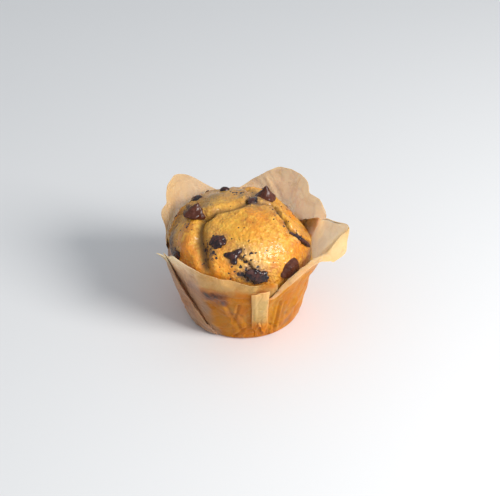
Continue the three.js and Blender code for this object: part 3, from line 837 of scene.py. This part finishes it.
def buildLiner():
    sheet = buildSheet()
    strip = buildStrip()
    markPaper(sheet, readVerts(sheet) / mm)
    stripPoints = readVerts(strip) / mm
    stripHeight = stripPoints[:, 2]
    cloud = 0.15 * noiseAt(stripPoints, 4, 61)
    paintVerts(strip, "soak", 0.95 * smoothstep(18, 7, stripHeight) - 0.05 + cloud)
    paintVerts(strip, "bright", smoothstep(10, 20, stripHeight))
    for name in ("stain", "greasyAndShaded", "veil", "blot", "creamAndLit"):
        paintVerts(strip, name, np.zeros(len(stripHeight)))
    paintVerts(strip, "blotchAndShade", 0.35 * bell(stripHeight - 15, 1.2) + 0.2 * noiseAt(stripPoints, 3, 62))
    for piece in (sheet, strip):
        turnFacesOut(piece)
        wall = piece.modifiers.new("thickness", "SOLIDIFY")
        wall.thickness = paper["thickness"] * mm
        wall.offset = 0
        bpy.ops.object.modifier_apply(modifier="thickness")
    selectOnly(sheet)
    strip.select_set(True)
    bpy.ops.object.join()
    piece = bpy.context.object
    piece.name = "paperLiner"
    print("the liner is folded:", len(piece.data.polygons), "faces")
    return piece


linerPaper = {
    "dry": (0.65, 0.33, 0.098, 1),
    "soaked": (0.76, 0.2, 0.004, 1),
    # paler paper, and painted light on the right petal
    "bright": (0.98, 0.43, 0.145, 1),
    # grease-soaked paper, and painted shade in the pleats
    "greasyAndShaded": (0.5, 0.11, 0.002, 1),
    # cream paper, and painted light where the paper is lit through
    "creamAndLit": (0.8, 0.53, 0.27, 1),
    "veil": (0.48, 0.26, 0.16, 1),
    "blot": (0.034, 0.036, 0.038, 1),
    "juice": (0.17, 0.115, 0.105, 1),
    "blotchAndShade": (0.3, 0.14, 0.02, 1),
    "dryCloud": (0.53, 0.245, 0.058, 1),
    "soakedCloud": (0.62, 0.135, 0.002, 1),
    "soakedSmear": (0.58, 0.2, 0.04, 1),
    "fibre": (0.86, 0.78, 0.68, 1),
    "roughness": (0.55, 0.38),  # dry and soaked
    "finish": {"Specular IOR Level": 0.14, "Subsurface Weight": 0.9, "Subsurface Radius": (1.0, 1.0, 1.0),
               "Subsurface Scale": 0.0018},
    # thin straight creases, as crumpling leaves them: scale, strength
    "creases": ((105.0, 0.17), (260.0, 0.12)),
}


def bakingPaper():
    material, tree, shader = newFinish("bakingPaper")
    where = addNode(tree, "ShaderNodeTexCoord").outputs["Object"]
    cloud = grain(tree, where, 110, 4, 0.6)
    fibre = grain(tree, where, 900, 3, 0.7)
    smear = grain(tree, where, 260, 4, 0.7, 0.6)

    soak = combine(tree, "ADD", painted(tree, "soak"), stretchTo(tree, smear, 0.3, 0.7, -0.22, 0.12))
    soak = stretchTo(tree, soak, 0.05, 0.95)
    dryCloud, wetCloud = stretchTo(tree, cloud, 0.35, 0.65, 0.0, 0.5), stretchTo(tree, cloud, 0.38, 0.62)
    dry = mixColour(tree, dryCloud, linerPaper["dry"], linerPaper["dryCloud"])
    wet = mixColour(tree, wetCloud, linerPaper["soaked"], linerPaper["soakedCloud"])
    wet = mixColour(tree, stretchTo(tree, smear, 0.5, 0.72, 0.0, 0.5), wet, linerPaper["soakedSmear"])
    colour = mixColour(tree, soak, dry, wet)
    # the paler and the cream marks carry painted light as well as paper colour; the greasy mark carries
    # painted shade as well as grease
    for name in ("veil", "bright", "creamAndLit", "greasyAndShaded"):
        colour = mixColour(tree, painted(tree, name), colour, linerPaper[name])
    # grease blotches, and painted shade behind the front strip
    colour = mixColour(tree, patchy(tree, "blotchAndShade", smear, 0.4, 0.58, 0.0), colour, linerPaper["blotchAndShade"])
    colour = mixColour(tree, patchy(tree, "stain", smear, 0.34, 0.6, 0.15), colour, linerPaper["juice"])
    blot = patchy(tree, "blot", grain(tree, where, 480, 4, 0.7), 0.27, 0.46, 0.3, 0.97)
    colour = mixColour(tree, blot, colour, linerPaper["blot"])
    fibreShare = stretchTo(tree, fibre, 0.35, 0.7, 0.0, 0.25)
    colour = mixColour(tree, fibreShare, colour, linerPaper["fibre"], "MULTIPLY")
    relief = None
    for size, depth in linerPaper["creases"]:
        cells = {"Vector": where, "Scale": size}
        edge = addNode(tree, "ShaderNodeTexVoronoi", cells, feature="DISTANCE_TO_EDGE").outputs["Distance"]
        relief = bump(tree, stretchTo(tree, edge, 0.0, 0.09), depth, 0.001, relief)
    relief = bump(tree, fibre, 0.12, 0.0003, bump(tree, smear, 0.3, 0.0008, relief))
    dullness = stretchTo(tree, soak, 0.0, 1.0, *linerPaper["roughness"])
    fitShader(tree, shader, linerPaper, colour, dullness, relief)
    return material


chips = {
    "sides": 28,
    "radius": 4.9,
    # the chip from its base to its tip: share of the radius, height in mm
    "rings": [(0.86, 0.0), (1.0, 0.7), (0.99, 1.6), (0.84, 2.7), (0.6, 3.9), (0.38, 5.2), (0.22, 6.3),
              (0.13, 7.1)],
    # where each sits (direction, tilt), how deep, the way its tip points, its size and how far it has melted
    "places": {
        "top": ((40, 29), 1.5, (0.02, 0.1, 1), (1.02, 0.9, 1.12), 0.6),
        "left": ((-167, 41), 0.7, (0.15, 0.35, 1), (1.12, 0.85, 1.05), 1.0),
        "front_right": ((-48.5, 83.5), 1.4, (0.36, -0.9, 0.5), (1.2, 1.1, 0.54), 0.25),
        "back": ((119, 74), 2.2, (-0.3, 0.45, 0.9), (0.95, 1.0, 0.8), 0.6),
        "back_right": ((70, 70), 2.3, (0.3, 0.6, 0.8), (0.9, 0.95, 0.75), 0.7),
        "back_left": ((155, 71), 2.7, (-0.5, 0.3, 0.9), (0.9, 0.9, 0.62), 0.8),
    },
}


def standOnCrust(points, at, sunk, tip=None, spin=0, towards=None):
    # turns a shape's upward axis to the crust's own, or to its tip's, and sets its base into the crust
    place, normal = domePlace(*at)
    upAxis = Vector(normal if tip is None else tip).normalized()
    turn = Vector((0, 0, 1)).rotation_difference(upAxis).to_matrix()
    turn = turn @ Matrix.Rotation(math.radians(spin), 3, "Z")
    if towards is not None:
        along = Vector(domePlace(*towards)[0] - place)
        side = upAxis.cross(along).normalized()
        turn = Matrix((side.cross(upAxis), side, upAxis)).transposed()
    rise = sum(height * bell(np.linalg.norm(domePlace(a, t)[0] - place), width)
               for a, t, height, width in lobes)
    return points @ np.array(turn).T + place + normal * (rise - sunk)


def chipShape():
    # a drop of chocolate: a disc drawn upwards ring by ring and closed at its tip
    clearSelection()
    foot = chips["radius"] * chips["rings"][0][0] * mm
    bpy.ops.mesh.primitive_circle_add(vertices=chips["sides"], radius=foot, fill_type="TRIFAN")
    piece = bpy.context.object
    bpy.ops.object.mode_set(mode="EDIT")
    bpy.ops.mesh.select_all(action="SELECT")
    for (share, height), (nextShare, nextHeight) in zip(chips["rings"][:-1], chips["rings"][1:]):
        bpy.ops.mesh.extrude_region_move(TRANSFORM_OT_translate={"value": (0, 0, (nextHeight - height) * mm)})
        grow = nextShare / share
        bpy.ops.transform.resize(value=(grow, grow, 1))
    turnFacesOut(piece)
    smooth = piece.modifiers.new("smooth", "SUBSURF")
    smooth.levels = smooth.render_levels = 2
    bpy.ops.object.modifier_apply(modifier="smooth")
    return piece


def buildChips(material):
    pattern = chipShape()
    for count, (name, (at, sunk, tip, size, melt)) in enumerate(chips["places"].items()):
        node = "chocolate_chip_" + name
        selectOnly(pattern)
        bpy.ops.object.duplicate()
        piece = bpy.context.object
        piece.name = node.title().replace("_", "")
        points = readVerts(piece) / mm
        # melted a little: it sags, its flank folds and its foot runs into the crust
        height = points[:, 2].copy()
        around = np.arctan2(points[:, 1], points[:, 0])
        waves = 0.1 * np.sin(3 * around + count) + 0.07 * np.sin(5 * around + 2 * count)
        points[:, :2] *= (1 + melt * waves * smoothstep(6, 0, height))[:, None]
        points[:, 0] += melt * 0.5 * smoothstep(2, 7, height)
        points *= np.array(size)
        rough = noiseAt(points, 2.6, 70 + count, 2) * 0.35 * (0.5 + melt)
        rough += noiseAt(points, 0.9, 80 + count) * 0.07
        folds = np.abs(np.sin(around * 1.5 + count)) * np.hypot(points[:, 0], points[:, 1])
        rough -= 0.35 * melt * bell(folds, 0.5)
        points += awayFromMiddle(points) * rough[:, None]
        writeVerts(piece, standOnCrust(points, at, sunk, tip) * mm)
        finish(piece, node, material)
    selectOnly(pattern)
    bpy.ops.object.delete()
    print("the chocolate chips are set:", len(chips["places"]))


chocolate = {
    "dark": (0.052, 0.012, 0.005, 1),
    "warm": (0.085, 0.021, 0.009, 1),
    "bloom": (0.2, 0.11, 0.09, 1),
    "roughness": (0.22, 0.42),
    "finish": {"Specular IOR Level": 0.25, "Coat Weight": 0.12, "Coat Roughness": 0.15},
}


def meltedChocolate():
    material, tree, shader = newFinish("meltedChocolate")
    where = addNode(tree, "ShaderNodeTexCoord").outputs["Object"]
    cloud = grain(tree, where, 260, 3, 0.6)
    fine = grain(tree, where, 1100, 3, 0.6)
    colour = mixColour(tree, stretchTo(tree, cloud, 0.35, 0.65), chocolate["dark"], chocolate["warm"])
    colour = mixColour(tree, stretchTo(tree, fine, 0.55, 0.75, 0.0, 0.4), colour, chocolate["bloom"])
    dullness = stretchTo(tree, cloud, 0.3, 0.7, *chocolate["roughness"])
    fitShader(tree, shader, chocolate, colour, dullness, bump(tree, fine, 0.25, 0.0003))
    return material


berries = {
    "lump": 1.7,  # size of the small lumps, in mm
    "sunk": 0.1,
    # where each sits, its half sizes, how far it is turned, how ragged its outline is, and what only it has
    "places": {
        "front_left": ((-113, 48), (3.9, 3.1, 2.3), 12, 0.14, {}),
        "front": ((-95, 59), (4.1, 4.1, 1.7), 0, 0.1, {"arms": (38, 170, 268)}),
        "front_rim": ((-77, 81), (5.6, 3.2, 1.7), 0, 0.3, {}),
        "crown": ((116, 30), (2.5, 2.2, 2.3), 0, 0.03, {"sunk": 0.6}),
        "crack_top": ((24, 11), (3.2, 1.8, 0.9), 55, 0.35, {}),
        "crack_right": ((-24, 66), (6.9, 1.3, 1.3), 0, 0.2, {"towards": (-17.5, 82.5)}),
        "left": ((148, 47), (3.0, 3.3, 1.8), 20, 0.25, {}),
        "left_rim": ((-151, 81), (3.0, 2.0, 1.2), -20, 0.3, {}),
        "back": ((96, 72), (4.0, 3.4, 2.3), 25, 0.15, {}),
        "back_left": ((137, 79), (3.4, 2.7, 1.6), -20, 0.15, {"sunk": 0.7}),
        "back_right": ((48, 84), (3.8, 3.0, 2.0), 15, 0.2, {"sunk": 1.0}),
    },
}


def buildBerries(material):
    for count, (name, (at, half, spin, ragged, own)) in enumerate(berries["places"].items()):
        node = "berry_" + name
        clearSelection()
        bpy.ops.mesh.primitive_ico_sphere_add(subdivisions=6, radius=1)
        piece = bpy.context.object
        piece.name = node.title().replace("_", "")
        ball = readVerts(piece)
        around = np.degrees(np.arctan2(ball[:, 1], ball[:, 0]))
        outline = np.ones(len(ball))
        if "arms" in own:
            turns = [np.abs((around - arm + 180) % 360 - 180) for arm in own["arms"]]
            outline = 0.47 + 0.6 * bell(np.min(turns, axis=0), 30)
        level = np.sqrt(ball[:, 0] ** 2 + ball[:, 1] ** 2)
        points = ball * np.array(half)
        points[:, :2] *= (1 + (outline - 1) * smoothstep(0, 0.5, level))[:, None]
        rag = noiseAt(points, 2.6, 90 + count, 2) * ragged * 1.6
        points[:, :2] *= (1 + rag * level)[:, None]
        # small round lumps, and folds where the skin has burst
        lumpy = 0.42 if ragged > 0.05 else 0.05
        cell = cellsAt(points, berries["lump"], 30 + count)
        lift = lumpy * (np.sqrt(np.maximum(0, 1 - (cell / 0.95) ** 2)) - 0.72) * 1.6
        lift += noiseAt(points, 1.1, 60 + count) * 0.08
        points += awayFromMiddle(points) * lift[:, None]
        sunk = own.get("sunk", berries["sunk"])
        writeVerts(piece, standOnCrust(points, at, sunk, None, spin, own.get("towards")) * mm)
        finish(piece, node, material)
    print("the berries are set:", len(berries["places"]))


skin = {
    "dark": (0.012, 0.006, 0.008, 1),
    "warm": (0.06, 0.018, 0.014, 1),
    "dust": (0.22, 0.12, 0.1, 1),
    "roughness": (0.18, 0.4),
    "finish": {"Specular IOR Level": 0.25, "Coat Weight": 0.2, "Coat Roughness": 0.12},
}


def berrySkin():
    material, tree, shader = newFinish("berrySkin")
    where = addNode(tree, "ShaderNodeTexCoord").outputs["Object"]
    cloud = grain(tree, where, 420, 3, 0.6)
    fine = grain(tree, where, 1500, 2, 0.6)
    colour = mixColour(tree, stretchTo(tree, cloud, 0.4, 0.62), skin["dark"], skin["warm"])
    colour = mixColour(tree, stretchTo(tree, fine, 0.62, 0.8, 0.0, 0.5), colour, skin["dust"])
    dullness = stretchTo(tree, cloud, 0.3, 0.7, *skin["roughness"])
    fitShader(tree, shader, skin, colour, dullness, bump(tree, fine, 0.3, 0.0003))
    return material


buildStage()
finish(buildCrumb(), "muffin_crumb", bakedCrust())
finish(buildLiner(), "paper_liner", bakingPaper())
buildChips(meltedChocolate())
buildBerries(berrySkin())
